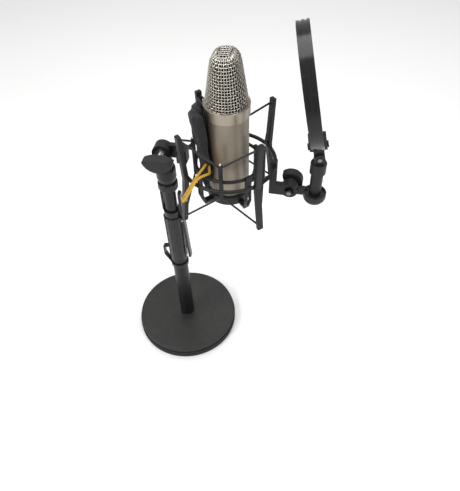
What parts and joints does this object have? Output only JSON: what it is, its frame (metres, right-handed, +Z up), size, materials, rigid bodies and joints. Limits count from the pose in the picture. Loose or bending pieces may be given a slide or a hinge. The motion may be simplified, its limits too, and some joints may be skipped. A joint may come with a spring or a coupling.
{
  "type": "condenser microphone",
  "caption": "Large condenser microphone in an elastic shock mount with a hoop pop filter, on a short round-based desk stand, its cloth pouch tucked beside it.",
  "frame": {"origin": "centre of the base's underside, on the floor under the pole", "axes": "+Z up the pole, +X from the pole to the microphone, -Y the side of the tilt knob"},
  "size_m": [0.2998, 0.1732, 0.5619],
  "materials": {
    "base_paint": "satin dark grey paint",
    "rim_rubber": "matte",
    "bright_steel": "bright plated",
    "pole_paint": "satin black paint",
    "clutch_plastic": "glossy black",
    "frame_paint": "satin black paint",
    "knob_plastic": "matte dark grey",
    "elastic_cord": "braided black",
    "mic_metal": "satin nickel, slightly warm",
    "mesh_metal": "bright woven wire",
    "dark_metal": "dull grey",
    "capsule_brass": "satin",
    "insulator": "black",
    "board_green": "varnished board",
    "pouch_cloth": "thin dark navy cloth",
    "gold_cord": "satin golden yellow braid",
    "hoop_plastic": "glossy black",
    "screen_cloth": "fine black mesh"
  },
  "bodies": {
    "stand": {"base_plate": "base_paint", "base_rubber_rim": "rim_rubber", "base_bolt": "bright_steel", "lower_tube": "pole_paint", "clutch_body": "clutch_plastic", "lever_pin": "bright_steel", "cable_clip": "clutch_plastic"},
    "clutch_lever": {"clutch_lever": "clutch_plastic"},
    "pole": {"inner_tube": "pole_paint", "thread_stud": "bright_steel"},
    "lock_nut": {"lock_nut": "clutch_plastic"},
    "socket": {"swivel_socket": "frame_paint", "tilt_washer": "bright_steel"},
    "tilt_knob": {"tilt_knob": "knob_plastic", "tilt_screw": "bright_steel"},
    "mount_frame": {"stand_bracket": "frame_paint", "tilt_nut": "bright_steel", "outer_ring": "frame_paint", "rear_right_arm": "frame_paint", "rear_left_arm": "frame_paint", "front_left_arm": "frame_paint", "front_right_arm": "frame_paint", "top_elastic": "elastic_cord", "bottom_elastic": "elastic_cord", "pop_bracket": "frame_paint", "pop_nut": "bright_steel"},
    "cradle": {"cradle_ring": "frame_paint", "cradle_posts": "frame_paint", "post_caps": "bright_steel", "cradle_legs": "frame_paint", "cradle_base": "frame_paint", "mic_base_cap": "mic_metal", "mic_body_tube": "mic_metal", "head_ring": "mic_metal", "head_plate": "dark_metal", "outer_grille": "mesh_metal", "inner_mesh": "mesh_metal", "capsule_ring": "capsule_brass", "capsule_membranes": "capsule_brass", "capsule_saddle": "insulator", "chassis_rails": "dark_metal", "circuit_board": "board_green", "board_components": "insulator", "connector_insert": "insulator", "connector_pins": "capsule_brass", "dust_pouch": "pouch_cloth", "drawstring_upper": "gold_cord", "drawstring_lower": "gold_cord", "string_knot": "gold_cord"},
    "lock_ring": {"lock_ring": "frame_paint"},
    "pop_knob": {"pop_knob": "knob_plastic", "pop_screw": "bright_steel"},
    "pop_arm": {"pop_arm": "frame_paint"},
    "pop_rod": {"pop_rod": "frame_paint", "tongue_rivet": "bright_steel"},
    "hoop_tongue": {"hoop_tongue": "frame_paint", "pivot_screw": "bright_steel"},
    "hoop": {"hoop_clip": "hoop_plastic", "hoop_band": "hoop_plastic", "hoop_screens": "screen_cloth"}
  },
  "joints": [
    {"name": "clutch_squeeze", "type": "hinge", "parent": "stand", "child": "clutch_lever", "pos_m": [0.0157, 0, 0.264], "axis": [0, 1, 0], "range_deg": [0, 2], "stiffness_Nm_per_rad": 0.8},
    {"name": "pole_height", "type": "slide", "parent": "stand", "child": "pole", "axis": [0, 0, 1], "range_m": [0, 0.13]},
    {"name": "lock_nut_turn", "type": "hinge", "parent": "pole", "child": "lock_nut", "pos_m": [0, 0, 0.328], "axis": [0, 0, 1], "range_deg": [0, 90]},
    {"name": "swivel_turn", "type": "hinge", "parent": "pole", "child": "socket", "pos_m": [0, 0, 0.35], "axis": [0, 0, 1], "range_deg": [-180, 180]},
    {"name": "tilt_knob_turn", "type": "hinge", "parent": "socket", "child": "tilt_knob", "pos_m": [0, 0, 0.384], "axis": [0, 1, 0], "continuous": true},
    {"name": "mount_tilt", "type": "hinge", "parent": "socket", "child": "mount_frame", "pos_m": [0, 0, 0.384], "axis": [0, 1, 0], "range_deg": [-60, 20]},
    {"name": "cradle_bounce", "type": "slide", "parent": "mount_frame", "child": "cradle", "axis": [0, 0, 1], "range_m": [-0.003, 0.003], "stiffness_N_per_m": 3770, "springref_m": 0.0025, "deforming": ["top_elastic", "bottom_elastic"]},
    {"name": "lock_ring_turn", "type": "hinge", "parent": "cradle", "child": "lock_ring", "pos_m": [0.0865, 0, 0.325], "axis": [0, 0, 1], "range_deg": [0, 180]},
    {"name": "pop_knob_turn", "type": "hinge", "parent": "mount_frame", "child": "pop_knob", "pos_m": [0.166, 0, 0.345], "axis": [0, 1, 0], "continuous": true},
    {"name": "pop_arm_tilt", "type": "hinge", "parent": "mount_frame", "child": "pop_arm", "pos_m": [0.166, 0, 0.345], "axis": [0, 1, 0], "range_deg": [-10, 60]},
    {"name": "pop_rod_turn", "type": "hinge", "parent": "pop_arm", "child": "pop_rod", "pos_m": [0.1985, 0, 0.34], "axis": [0, 0, 1], "range_deg": [-80, 80]},
    {"name": "hoop_lean", "type": "hinge", "parent": "pop_rod", "child": "hoop_tongue", "pos_m": [0.1985, 0, 0.402], "axis": [-0.1513, 0.9885, 0], "range_deg": [-15, 45]},
    {"name": "hoop_roll", "type": "hinge", "parent": "hoop_tongue", "child": "hoop", "pos_m": [0.1948, -0.00057, 0.41961], "axis": [0.9669, 0.148, 0.2079], "range_deg": [-25, 25]}
  ]
}
